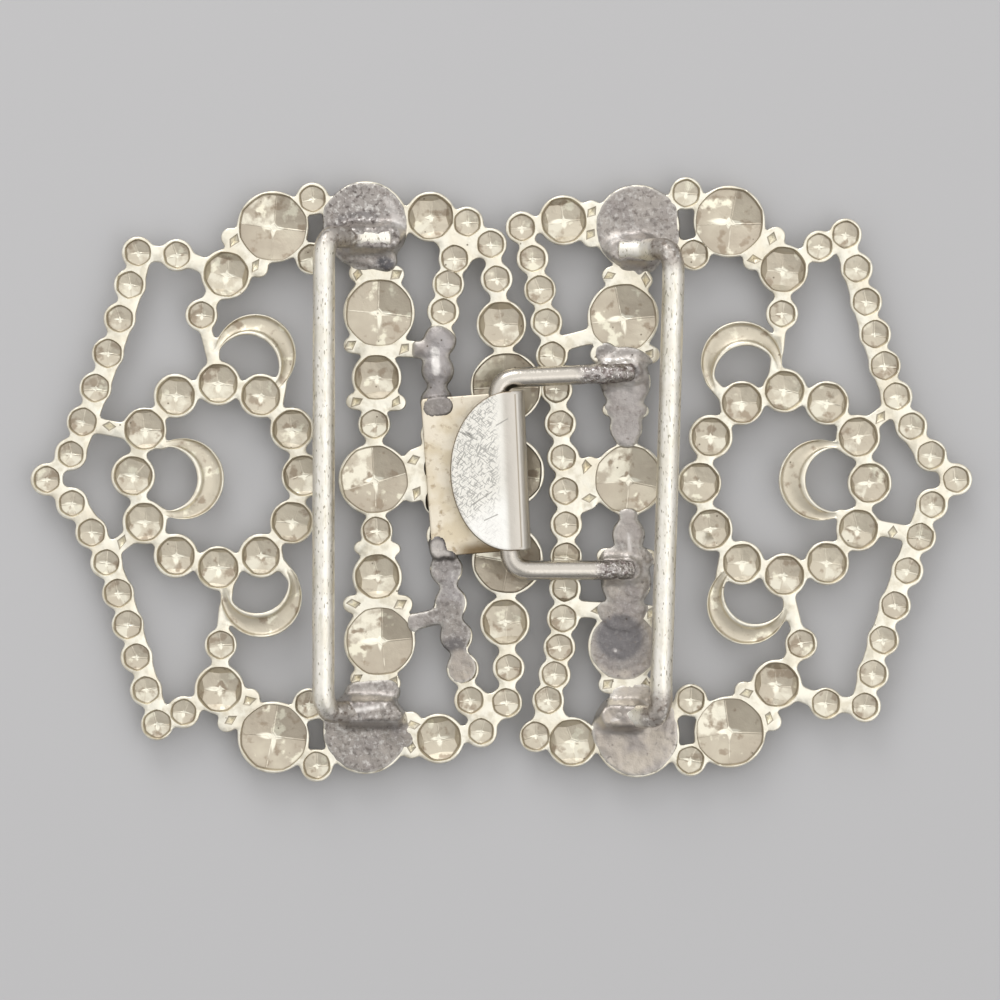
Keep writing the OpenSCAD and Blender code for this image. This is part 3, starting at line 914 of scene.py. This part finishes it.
def hook_plate():
    """The plate, folded back on itself into a tongue, made flat and then bent."""
    bend_x = FOLD_X - FOLD_R - PLATE_T
    middle_r = FOLD_R + PLATE_T / 2
    flat = bend_x - PLATE_LEFT
    full = flat + math.pi * middle_r
    half_h = PLATE_H / 2
    field = Field((-1.5, -half_h - 1.5), (full + TONGUE_RX + 1.5, half_h + 1.5))

    def distance(x, y):
        box = np.maximum(np.maximum(-x, x - full), np.abs(y) - half_h)
        past = np.maximum(x - full, 0) / TONGUE_RX
        radius = np.hypot(past, y / half_h)
        slope = np.hypot(past / TONGUE_RX, y / half_h ** 2) / np.maximum(radius, 1e-6)
        tongue = np.maximum((radius - 1) / np.maximum(slope, 1e-3), full - 0.5 - x)
        return np.minimum(box, tongue)
    field.add([(0, -half_h), (full + TONGUE_RX, half_h)], 0, distance)
    field.soften(0.15)
    plan = Plan()
    for loop in field.contours():
        way = field.outward(loop)
        for inset in (0, 0.04, EDGE_ROUND, 0.25):
            plan.loop(loop - way * inset)
    us, vs = np.meshgrid(np.arange(0.35, full + TONGUE_RX, 0.15), np.arange(-half_h + 0.35, half_h, 0.25))
    grid = np.column_stack([us.ravel(), vs.ravel()])
    crease = full - CREASE_IN
    grid = grid[(field.at(grid) < -0.32) & (abs(grid[:, 0] - crease + 0.09) > 0.2)]
    plan.add(grid)
    for shift in (-0.25, -0.16, -0.07, 0, 0.07):
        plan.path([(crease + shift, s * (half_h - 0.3)) for s in np.linspace(-1, 1, 40)])
    scratched = [np.array([(full + row[0], row[1]), (full + row[2], row[3])]) for row in LONG_SCRATCHES]
    for ends in scratched:
        along_x, along_y = (ends[1] - ends[0]) / np.linalg.norm(ends[1] - ends[0])
        for side in (-1, 0, 1):
            plan.path(ends + side * SCRATCH_W / 2 * np.array([-along_y, along_x]))
    points, faces = plan.triangles(field)
    scratch = np.max([1 - away(points, *ends)[0] / (SCRATCH_W / 2) for ends in scratched], axis=0)
    u, v = points.T
    half_t = PLATE_T / 2 - edge_drop(field, points)
    low_edge = between(-v, 5.3, 6.3) * between(u, 1.4, 3.5) * (u < flat)
    # Dirt and painted shade along the tongue's edge, where the gap under it is in shadow
    tongue_edge = (u > full - 0.3) * (1 - between(-field.at(points), 0.02, 0.12))
    # A painted shade line on the crease and a painted highlight line beside it
    crease_shade = 0.7 * np.clip(1 - abs(u - crease) / 0.07, 0, 1) * (abs(v) < half_h - 0.2)
    crease_highlight = 0.7 * np.clip(1 - abs(u - crease + 0.16) / 0.09, 0, 1)
    worn = between(u, full + 0.1, full + 0.7)
    smooth_part = between(-v - 0.5 * (u - full - 2), 1.5, 4)
    marks = {
        "bent": between(u, flat, flat + 1),
        "worn": np.maximum(worn, crease_highlight),
        "smooth": worn * smooth_part,
        "scuffed": between(u, full + 0.5, full + 1.6) * (1 - 0.85 * smooth_part),
        "dirt": np.maximum(np.maximum(low_edge, tongue_edge), crease_shade),
        "scratch": np.clip(scratch, 0, 1),
    }
    piece = solid("hook_plate", points, faces, half_t, -half_t, np.zeros(len(faces)), marks)
    cos, sin = math.cos(PLATE_TURN), math.sin(PLATE_TURN)
    for vertex in piece.data.vertices:
        u, v, w = (value / MM for value in vertex.co)
        angle = min(max((u - flat) / middle_r, 0), math.pi)
        over = u - flat if u < flat else max(u - full, 0)
        reach = middle_r + w
        out, down = abs(math.sin(angle)) ** FOLD_SQUARE, abs(math.cos(angle)) ** FOLD_SQUARE
        x = bend_x + reach * out + over * math.cos(angle)
        z = FOLD_Z - reach * math.copysign(down, math.cos(angle)) + 0.05 * noise.noise((u / 3, v / 3, 2))
        y = v + HOOK_C[1]
        across = (x - PLATE_LEFT) / (FOLD_X - PLATE_LEFT)
        y += TONGUE_LIFT * max(across, 0.45 if u > full else 0)
        x += CORNER_SHIFT * (1 - across) * (0.5 - v / PLATE_H) if u < flat else 0
        dx, dy = x - HOOK_C[0], y - HOOK_C[1]
        vertex.co = Vector((HOOK_C[0] + dx * cos - dy * sin, HOOK_C[1] + dx * sin + dy * cos, z)) * MM
    piece.data.flip_normals()
    return piece


# Solder that keeps to the sheet's outline; a later row's colour covers an earlier one's. columns: x and y
# of each end, width, height above the sheet, width of its domed edge, darkness, warmth, speckle
HOOK_FILMS = [
    (-11.3, 21.3, -11.3, 21.29, 7, 0.05, 0.3, 0.25, 0.4, 1),
    (-11.5, 21.1, -11.5, 21.09, 7.4, 0.05, 0.3, 0.25, 0.4, 1),
    (-11.3, -21, -11.3, -20.99, 7, 0.05, 0.3, 0.3, 0.6, 0.7),
    (-11.35, -20.75, -11.35, -20.74, 7.3, 0.05, 0.3, 0.3, 0.6, 0.7),
    (-9, -21.1, -8.2, -21.5, 1.9, 0.02, 0.3, 0.5, 1, 0.5),
    (-5.5, 10.9, -5.5, 9.2, 4, 0.45, 1.3, 0.05, 0, 0.1),
    (-5.6, 8, -5.5, 6, 3.6, 0.4, 1.2, 0.35, 0.1, 0.15),
    (-5.2, -6.4, -5, -7.2, 3.6, 0.06, 0.25, 0.4, 0.3, 0.55),
    (-5, -9.2, -4.8, -10.2, 3.7, 0.06, 0.25, 0.2, 0.1, 0.45),
    (-5.4, -11.6, -6.7, -11.9, 2.4, 0.08, 0.3, 0.15, 0.3, 0.4),
    (-4.5, -12, -4.3, -12.7, 3.7, 0.06, 0.25, 0.4, 0.6, 0.5),
    (-3.9, -14.2, -3.9, -14.6, 2.2, 0.03, 0.25, 0.85, 0.9, 0.3),
    (-3.5, -15.5, -3.4, -15.7, 2.7, 0.02, 0.25, 0.1, 1, 0.2),
]
LOOP_FILMS = [
    (11.3, 21, 11.3, 20.99, 7, 0.05, 0.3, 0.2, 0.5, 0.6),
    (11.45, 21, 11.45, 20.99, 7.3, 0.05, 0.3, 0.2, 0.5, 0.6),
    (11.3, -21.3, 11.3, -21.31, 6.95, 0.05, 0.3, -0.1, 1, 0.1),
    (11.1, -20.6, 11.1, -20.61, 7.3, 0.05, 0.3, -0.1, 1, 0.1),
    (8.7, 10.5, 8.71, 10.5, 1.9, 0.05, 0.3, 0.45, 0.5, 0.5),
    (10.4, 8.3, 10.4, 7.9, 5.6, 0.12, 0.5, 0.3, 0.4, 0.5),
    (10.5, 6.6, 10.5, 4.4, 3.6, 0.1, 0.4, 0.05, 0.2, 0.2),
    (10.55, -3.6, 10.5, -5, 2.5, 0.12, 0.4, -0.1, 0.5, 0.2),
    (10.5, -4.8, 10.4, -6.4, 3.6, 0.1, 0.4, 0, 0.4, 0.2),
    (10.4, -7.6, 10.4, -9.2, 5.2, 0.12, 0.5, 0.25, 0.6, 0.4),
    (10.1, -10.4, 10.1, -10.6, 4.4, 0.06, 0.4, 0.2, 0.7, 0.3),
    (10.2, -13.9, 10.2, -13.91, 5.8, -0.03, 0.3, 0, 0.9, 0.2),
    (9.95, -13.5, 9.96, -13.5, 4.9, -0.03, 0.3, 0.35, 0.5, 0.2),
    (9.85, -13.2, 9.86, -13.2, 3.9, -0.03, 0.3, 0.75, 0, 0.1),
]
# Solder that has run over the sheet's edge or onto the plate, with the same columns
HOOK_DRIPS = [
    (-12.8, 18.9, -9.6, 18.2, 1.9, 0.2, 0.6, 0.2, 0.6, 0.5),
    (-9.8, 18.1, -9.5, 17.9, 1.3, 0.25, 0.5, 1, 0.4, 0.4),
    (-12, -17.9, -9.5, -17.7, 2.2, 0.12, 0.4, 0.15, 0.4, 0.5),
    (-5.75, 6, -4.8, 6.1, 1.8, 0.74, 0.2, 0.45, 0.6, 0.2),
    (-5.3, -5.4, -5.2, -5.95, 1.6, 0.72, 0.2, 0.9, 0.6, 0),
    (-5.1, -6.1, -4.1, -6.25, 0.9, 0.72, 0.2, 0.9, 0.6, 0),
]
LOOP_DRIPS = [
    (10.4, 18.1, 12.3, 18, 1.5, 0.1, 0.4, 0.25, 0.6, 0.5),
    (11.4, 17.8, 11.5, 17.3, 0.8, 0.05, 0.3, 0.2, 0.6, 0.3),
    (10.6, -20.7, 10.9, -20.7, 6, 0.05, 0.3, 0, 0.9, 0.1),
    (7.4, 8.8, 10.6, 8.9, 1.7, 0.25, 0.6, 0.65, 0.6, 0.5),
    (8.9, -7.3, 10.7, -7.3, 1.9, 0.45, 0.6, 0.4, 0.6, 0.4),
]
# Stains on the solder, with painted highlights, painted light over shade and painted shadow lines. columns: x
# and y of each end, width, darkness, warmth, speckle
HOOK_STAINS_AND_PAINTED_LIGHT = [
    (-13.2, 21.4, -10.8, 21.8, 1.4, 0.6, 0.3, 1),
    (-9.4, 23.2, -8.2, 20.6, 0.8, -0.35, 0.3, 0.8),
    # A painted highlight streak down the domed blob
    (-5.55, 10.7, -5.4, 9, 0.7, -1, 0, 0),
    # A painted highlight band on the foot, then painted light over the shade below it
    (-12.2, -19.2, -10.2, -18.9, 0.4, -0.8, 0.4, 0),
    (-12.4, -20.3, -8.8, -20.3, 0.5, -0.3, 0.4, 0.6),
    (-5.35, -5.55, -5.3, -5.95, 1.1, -0.3, 0.5, 0.3),
    (-5.1, -6.05, -4.5, -6.2, 0.5, -0.3, 0.5, 0.3),
]
LOOP_STAINS_AND_PAINTED_LIGHT = [
    # Painted light over the shaded slope above the wire
    (8.8, 9.8, 10.9, 9.75, 0.6, -0.3, 0.6, 0.6),
    # A painted highlight line, then a painted shadow line below the foot
    (9.2, -20.05, 10, -19.75, 0.2, -0.8, 0.9, 0),
    (9.3, -20.6, 12.2, -20.5, 0.25, 0.7, 0.6, 0),
    (10.6, -4.6, 10.7, -5.9, 0.3, -0.6, 0.3, 0),
    (9.45, -14.25, 9.5, -14.3, 0.25, -1, 0, 0),
]
HOOK_SOLDER = (HOOK_FILMS, HOOK_DRIPS, HOOK_STAINS_AND_PAINTED_LIGHT)
LOOP_SOLDER = (LOOP_FILMS, LOOP_DRIPS, LOOP_STAINS_AND_PAINTED_LIGHT)
# How far solder reaches past the sheet's edge, and how far below the sheet's top its own edge starts
FILM_OVER = 0.03
SKIRT = 0.15
# How far the solder climbs at a wire's end and further in, as shares of the wire's radius
CLIMB = {
    "bare": (0.87, 0.94),
    "open": (0.65, 0.75),
    "coated": (1.1, 1.05),
    "loop": (0.6, 0.1),
}
# How far solder slopes down beside a wire, and how much painted light brightens that slope where shade falls
MOUND_W = 0.55
MOUND_PAINTED_LIGHT = 0.65


def away(points, a, b):
    """Distance from points to a line in the plane, and the share of the way along it."""
    a, b = np.array(a[:2], float), np.array(b[:2], float)
    way = b - a
    share = np.clip((points - a) @ way / (way @ way), 0, 1)
    return np.linalg.norm(points - a - share[:, None] * way, axis=1), share


def solder(name, sheet, half, tables, wires, seed):
    """The solder of one half; wires are the wire ends in it, as two points and a kind."""
    films, drips, stains_and_painted_light = tables
    field = Field((-16, -26), (16, 26))
    for row in films:
        field.strip(row[:2], row[2:4], row[4])
    xs, ys = np.meshgrid(field.x, field.y)
    places = np.column_stack([xs.ravel(), ys.ravel()]) * half
    field.d = np.maximum(field.d, sheet.at(places).reshape(xs.shape) - FILM_OVER)
    for row in drips:
        field.strip(row[:2], row[2:4], row[4])
    field.soften(0.15)
    plan = Plan()
    for loop in field.contours():
        way = field.outward(loop)
        for inset in (0, 0.05, 0.14):
            plan.loop(loop - way * inset)
    step = 0.16
    xs, ys = np.meshgrid(np.arange(-15, 15, step), np.arange(-25.5, 25.5, step))
    grid = np.column_stack([xs.ravel(), ys.ravel()])
    grid = grid[field.at(grid) < -0.22]
    plan.add(grid + np.random.default_rng(seed).uniform(-0.04, 0.04, grid.shape))
    points, faces = plan.triangles(field)
    edge_inset = np.maximum(-field.at(points), 0)
    lift = np.full(len(points), -0.25)
    tones = np.zeros((len(points), 3))
    for x0, y0, x1, y1, w, height, edge, *tone in films + drips:
        inside = w / 2 - away(points, (x0, y0), (x1, y1))[0]
        reach = np.minimum(inside, edge_inset)
        dome = np.sqrt(1 - (1 - np.clip(reach / edge, 0, 1)) ** 2)
        lift = np.maximum(lift, (height + SKIRT) * dome - SKIRT)
        tones += between(inside, -0.25, 0.35)[:, None] * (np.array(tone) - tones)
    for x0, y0, x1, y1, w, *tone in stains_and_painted_light:
        inside = w / 2 - away(points, (x0, y0), (x1, y1))[0]
        tones += between(inside, -0.1, 0.15)[:, None] * (np.array(tone) - tones)
    dark, warm, speckled = tones.T
    crumple = np.zeros(len(points))
    for a, b, radius, kind in wires:
        far, share = away(points, a, b)
        start, end = CLIMB[kind]
        climb = start + (end - start) * share
        level = a[2] + (b[2] - a[2]) * share - BACK_Z + climb * radius
        mound = np.exp(-(np.maximum(far - 0.7 * radius, 0) / MOUND_W) ** 2) * between(edge_inset, 0, 0.3)
        lift = lift + np.maximum(level - lift, 0) * mound
        crumple = np.maximum(crumple, mound)
        # Painted light on the slope beside each wire, where it lies in shade
        dark = dark - MOUND_PAINTED_LIGHT * 4 * mound * (1 - mound)
    top = BACK_Z + lift + 0.03 * rough(points, 1.2, seed) + 0.03 * rough(points, 0.45, seed + 1)
    top += crumple * (0.12 * rough(points, 0.9, seed + 2) + 0.05 * rough(points, 0.4, seed + 3))
    bottom = np.minimum(BACK_Z - 0.3, top - 0.1)
    return solid(name, points, faces, top, bottom, np.zeros(len(faces)), {
        "dark": np.clip(dark, 0, 1),
        "pale": np.clip(-dark, 0, 1),
        "warm": warm,
        "speckled": speckled,
        "edge": 1 - between(edge_inset, 0.05, 0.3),
    })


# Materials
def feed(tree, socket, value):
    """Links an input to an output, or sets it."""
    if isinstance(value, bpy.types.NodeSocket):
        tree.links.new(value, socket)
    else:
        socket.default_value = value


def node(tree, kind, inputs, output=0, **settings):
    """An output of a new shader node."""
    made = tree.nodes.new("ShaderNode" + kind)
    for key, value in settings.items():
        setattr(made, key, value)
    for key, value in inputs.items():
        feed(tree, made.inputs[key], value)
    return made.outputs[output]


def times(tree, a, b):
    return node(tree, "Math", {0: a, 1: b}, operation="MULTIPLY")


def span(tree, value, low, high, start=0.0, end=1.0, kind="LINEAR"):
    """The value's range from low to high, mapped to start and end."""
    inputs = {"Value": value, "From Min": low, "From Max": high, "To Min": start, "To Max": end}
    return node(tree, "MapRange", inputs, interpolation_type=kind)


def drawn_out(tree, place, turn, scale):
    inputs = {"Vector": place, "Rotation": (0, 0, turn), "Scale": scale}
    return node(tree, "Mapping", inputs, vector_type="TEXTURE")


def mottle(tree, place, size, low, high, detail=3, turn=0, stretch=None):
    """Noise from 0 to 1; size in millimetres, drawn out along a direction by the stretch."""
    if stretch:
        place = drawn_out(tree, place, turn, (stretch, 1, 1))
    made = node(tree, "TexNoise", {"Vector": place, "Scale": 1 / (size * MM), "Detail": detail})
    return span(tree, made, low, high)


def specks(tree, place, size, reach, stretch=None):
    """Sparse specks, 1 at their middle; size is their spacing in millimetres."""
    if stretch:
        place = drawn_out(tree, place, 0, (1, stretch, 1))
    made = node(tree, "TexVoronoi", {"Vector": place, "Scale": 1 / (size * MM)}, "Distance")
    return span(tree, made, reach, reach * 0.4)


def where(tree, place, attributes, pattern):
    """The product of the named attributes and a pattern, either of which can be left out."""
    parts = [node(tree, "Attribute", {}, "Fac", attribute_name=label) for label in attributes.split()]
    if pattern and pattern[0] == "specks":
        parts.append(specks(tree, place, *pattern[1:]))
    elif pattern:
        parts.append(mottle(tree, place, *pattern))
    return functools.reduce(lambda a, b: times(tree, a, b), parts)


def metal(name):
    """A metal whose colour, roughness and relief are built up in layers."""
    colour, roughness, layers, reliefs = METALS[name]
    material = bpy.data.materials.new(name)
    material.use_nodes = True
    tree = material.node_tree
    place = node(tree, "TexCoord", {}, "Object")
    looks = {"Metallic": 1, "Base Color": (*colour, 1), "Roughness": roughness}
    for attributes, pattern, colour, *roughness in layers:
        mask = where(tree, place, attributes, pattern)
        inputs = {0: mask, 6: looks["Base Color"], 7: (*colour, 1)}
        looks["Base Color"] = node(tree, "Mix", inputs, 2, data_type="RGBA")
        for level in roughness:
            looks["Roughness"] = node(tree, "Mix", {0: mask, 2: looks["Roughness"], 3: level})
    for attributes, pattern, depth in reliefs:
        inputs = {"Height": where(tree, place, attributes, pattern), "Distance": depth * MM, "Strength": 1}
        if "Normal" in looks:
            inputs["Normal"] = looks["Normal"]
        looks["Normal"] = node(tree, "Bump", inputs)
    for socket, value in looks.items():
        feed(tree, tree.nodes["Principled BSDF"].inputs[socket], value)
    return material


# Patterns are noise (size, range, detail, turn, stretch) or specks (spacing, reach, stretch).
# columns: colour, roughness, layers from the lowest (attributes, pattern, colour, roughness), reliefs
# (attributes, pattern, depth)
METALS = {
    # Cream, beige and blotched in its hollows, with dirt and painted shade in the corners and painted
    # highlights
    "stamped_metal": ((0.9, 0.865, 0.75), 0.36, [
        ("", (2.2, 0.45, 0.65), (0.84, 0.78, 0.64)),
        ("", (0.9, 0.5, 0.66), (0.74, 0.69, 0.565)),
        ("hollow", None, (0.625, 0.57, 0.46), 0.43),
        ("hollow tone", (2.5, 0.3, 0.6), (0.52, 0.46, 0.37)),
        ("hollow", (1.7, 0.6, 0.66, 4), (0.83, 0.79, 0.64), 0.34),
        # Painted highlight on some facets of each stud
        ("lit", (1.1, 0.4, 0.54, 5), (0.76, 0.72, 0.6), 0.36),
        ("hollow", (1.2, 0.58, 0.66), (0.42, 0.35, 0.27), 0.5),
        # Painted highlight on the raised lines between floor facets
        ("ridge", (1.1, 0.48, 0.62), (0.85, 0.8, 0.67), 0.34),
        # Painted highlight star at each stud's centre
        ("star", None, (0.93, 0.89, 0.75), 0.34),
        # Dirt and painted shade at the foot of each stud's wall and round each pit
        ("groove", None, (0.44, 0.39, 0.31), 0.5),
        ("", ("specks", 1.5, 0.07), (0.25, 0.21, 0.16), 0.6),
    ], [("", (0.8, 0.2, 0.8), 0.03), ("", (0.12, 0.2, 0.8), 0.004)]),
    # Pale wire with dark flecks, greyed where solder covers it
    "bar_metal": ((0.95, 0.92, 0.85), 0.42, [
        ("", (2, 0.42, 0.68), (0.86, 0.82, 0.72)),
        ("", (0.2, 0.54, 0.7, 2, math.pi / 2, 4.5), (0.78, 0.75, 0.64)),
        ("", (0.14, 0.66, 0.74, 0.5, math.pi / 2, 3), (0.46, 0.43, 0.35), 0.6),
        ("coat", None, (0.5, 0.46, 0.42), 0.42),
        ("coat", (0.4, 0.5, 0.68), (0.27, 0.23, 0.2), 0.5),
        ("coat", (0.6, 0.58, 0.7), (0.8, 0.77, 0.72), 0.32),
    ], [("coat", (0.5, 0.3, 0.7), 0.05), ("", (0.4, 0.2, 0.8), 0.02), ("", (0.12, 0.2, 0.8), 0.005)]),
    # Yellowish sheet, scoured bright on the tongue, with painted shade and highlight lines by the crease and
    # its edge
    "plate_metal": ((0.82, 0.75, 0.62), 0.4, [
        ("", (2.2, 0.45, 0.62), (0.72, 0.63, 0.47)),
        ("", (0.6, 0.58, 0.72), (0.52, 0.42, 0.29), 0.5),
        ("bent", None, (0.6, 0.565, 0.51), 0.38),
        # Wear on the tongue, and a painted highlight line beside the crease
        ("worn", None, (0.84, 0.82, 0.76), 0.38),
        ("smooth", None, (0.93, 0.92, 0.88), 0.36),
        *[("scuffed", (size, 0.62, 0.69, 0.6, turn, 5.5), (0.47, 0.46, 0.43), 0.45)
          for turn, size in ((0.6, 0.12), (0.8, 0.11), (-0.6, 0.11), (1.3, 0.12), (2.4, 0.11))],
        ("scratch", None, (0.33, 0.32, 0.29), 0.45),
        # Dirt, and painted shade on the crease and along the tongue's edge
        ("dirt", None, (0.26, 0.19, 0.11), 0.55),
    ], [("", (0.8, 0.2, 0.8), 0.02), ("", (0.12, 0.2, 0.8), 0.005)]),
    # Bright wire, its ends rough with solder
    "loop_metal": ((0.62, 0.58, 0.52), 0.24, [
        ("", ("specks", 0.7, 0.1, 2), (0.35, 0.31, 0.25), 0.5),
        ("coat", None, (0.47, 0.44, 0.42), 0.28),
        ("coat", (0.3, 0.48, 0.62), (0.24, 0.2, 0.19), 0.45),
        ("coat", (0.22, 0.6, 0.68), (0.9, 0.88, 0.86), 0.2),
    ], [("coat", (0.4, 0.3, 0.7), 0.07), ("", (0.4, 0.2, 0.8), 0.012)]),
    # Dull grey solder, cool to taupe, with dark specks, a paler edge, and painted highlights and shadows
    "solder_metal": ((0.42, 0.395, 0.39), 0.42, [
        ("warm", None, (0.52, 0.465, 0.395)),
        ("", (2.4, 0.42, 0.68), (0.37, 0.335, 0.315)),
        ("edge", None, (0.62, 0.59, 0.54), 0.4),
        # Darker solder, and a painted shadow line under a foot
        ("dark", None, (0.13, 0.125, 0.13), 0.48),
        ("", (0.5, 0.62, 0.76), (0.25, 0.22, 0.2), 0.5),
        ("speckled", (0.3, 0.52, 0.68), (0.6, 0.58, 0.55), 0.36),
        ("speckled", (0.36, 0.54, 0.68), (0.16, 0.14, 0.13), 0.5),
        # Paler solder, painted highlights and painted light over shaded slopes
        ("pale", None, (0.8, 0.77, 0.74), 0.3),
        ("", ("specks", 1.3, 0.08), (0.14, 0.12, 0.1), 0.6),
    ], [("", (0.7, 0.2, 0.8), 0.04), ("", (0.15, 0.2, 0.8), 0.012)]),
}


# Parts of the room. columns: direction, angles from it where the part starts and is full, brightness there
ROOM = [
    ((0, 0, 1), 85, 30, 2.2),
    ((-0.36, -0.38, 0.85), 30, 8, 0.5),
    ((0.4, -0.25, 0.87), 26, 8, 1.4),
    ((0, -0.58, 0.81), 26, 8, 0.7),
    ((0, -0.95, 0.3), 40, 10, 0.45),
]
ROOM_LEVEL = 0.52
# The lamp: place and size in metres, power in watts
LAMP_PLACE = (-0.1, 0.4, 0.24)
LAMP_SIZE = 0.25
LAMP_POWER = 0.55
# Half the floor's side, and its height, just under the buckle
FLOOR_SIDE = 600
FLOOR_Z = -0.02
# The camera's lens and sensor
LENS = 200
SENSOR = 36
# The photograph's side, pixels to a millimetre, and the pixel where x and y are zero
PHOTO_SIDE = 1000
PHOTO_SCALE = 12
PHOTO_ORIGIN = (501.4, 479.4)


def room():
    """Soft light, brightest overhead and dimmer towards the floor and the viewer's side."""
    world = bpy.data.worlds.new("room")
    bpy.context.scene.world = world
    world.use_nodes = True
    tree = world.node_tree
    way = node(tree, "TexCoord", {}, "Generated")
    value = ROOM_LEVEL
    for towards, start, full, level in ROOM:
        unit = Vector(towards).normalized()
        facing = node(tree, "VectorMath", {0: way, 1: unit}, "Value", operation="DOT_PRODUCT")
        low, high = math.cos(math.radians(start)), math.cos(math.radians(full))
        value = times(tree, span(tree, facing, low, high, 1.0, level, "SMOOTHSTEP"), value)
    background = tree.nodes["Background"]
    background.inputs["Color"].default_value = (1, 0.99, 0.98, 1)
    tree.links.new(value, background.inputs["Strength"])


def studio():
    """A plain pale floor, a soft room and the photograph's camera."""
    square = ((-1, -1), (1, -1), (1, 1), (-1, 1))
    corners = np.array([(x * FLOOR_SIDE, y * FLOOR_SIDE, FLOOR_Z) for x, y in square])
    floor = make_object("floor", corners, [(0, 1, 2, 3)], {})
    paint = bpy.data.materials.new("floor_paint")
    paint.use_nodes = True
    shader = paint.node_tree.nodes["Principled BSDF"]
    shader.inputs["Base Color"].default_value = (0.52, 0.52, 0.53, 1)
    shader.inputs["Roughness"].default_value = 0.9
    floor.data.materials.append(paint)
    room()
    lamp = bpy.data.objects.new("lamp", bpy.data.lights.new("lamp", "AREA"))
    lamp.data.size = LAMP_SIZE
    lamp.data.energy = LAMP_POWER
    lamp.location = LAMP_PLACE
    lamp.rotation_euler = (-Vector(LAMP_PLACE)).to_track_quat("-Z", "Y").to_euler()
    bpy.context.scene.collection.objects.link(lamp)
    camera = bpy.data.objects.new("camera", bpy.data.cameras.new("camera"))
    camera.data.lens = LENS
    camera.data.sensor_width = SENSOR
    distance = PHOTO_SIDE / PHOTO_SCALE * LENS / SENSOR
    centre = PHOTO_SIDE / 2
    x = (centre - PHOTO_ORIGIN[0]) / PHOTO_SCALE
    y = (PHOTO_ORIGIN[1] - centre) / PHOTO_SCALE
    camera.location = Vector((x, y, BACK_Z + distance)) * MM
    camera.data.clip_start = 0.01
    bpy.context.scene.collection.objects.link(camera)
    bpy.context.scene.camera = camera
    bpy.context.scene.view_settings.view_transform = "Standard"


def bar_feet(ends):
    """The ends of a strap bar that lie in solder."""
    return [(*bar_end(row)[:2], BAR_D / 2, row[7]) for row in ends]


studio()
metals = {name: metal(name) for name in METALS}
loop_wires = bar_feet(LOOP_BAR) + [(*feet, LOOP_D / 2, "loop") for feet in LOOP_FEET]
hook_sheet, hook_field = stamping("hook_half_stamping", True, 1, 3)
loop_sheet, loop_field = stamping("loop_half_stamping", False, -1, 8)
# columns: piece, metal
PIECES = [
    (hook_sheet, "stamped_metal"),
    (strap_bar("hook_half_strap_bar", HOOK_BAR, 1), "bar_metal"),
    (hook_plate(), "plate_metal"),
    (solder("hook_half_solder", hook_field, 1, HOOK_SOLDER, bar_feet(HOOK_BAR), 4), "solder_metal"),
    (loop_sheet, "stamped_metal"),
    (strap_bar("loop_half_strap_bar", LOOP_BAR, 2), "bar_metal"),
    (wire_loop(), "loop_metal"),
    (solder("loop_half_solder", loop_field, -1, LOOP_SOLDER, loop_wires, 6), "solder_metal"),
]
for number, (piece, name) in enumerate(PIECES):
    cad_node = "hook_half" if number < 4 else "loop_half"
    piece.data.materials.append(metals[name])
    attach(piece, "root")
    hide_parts(cad_node)
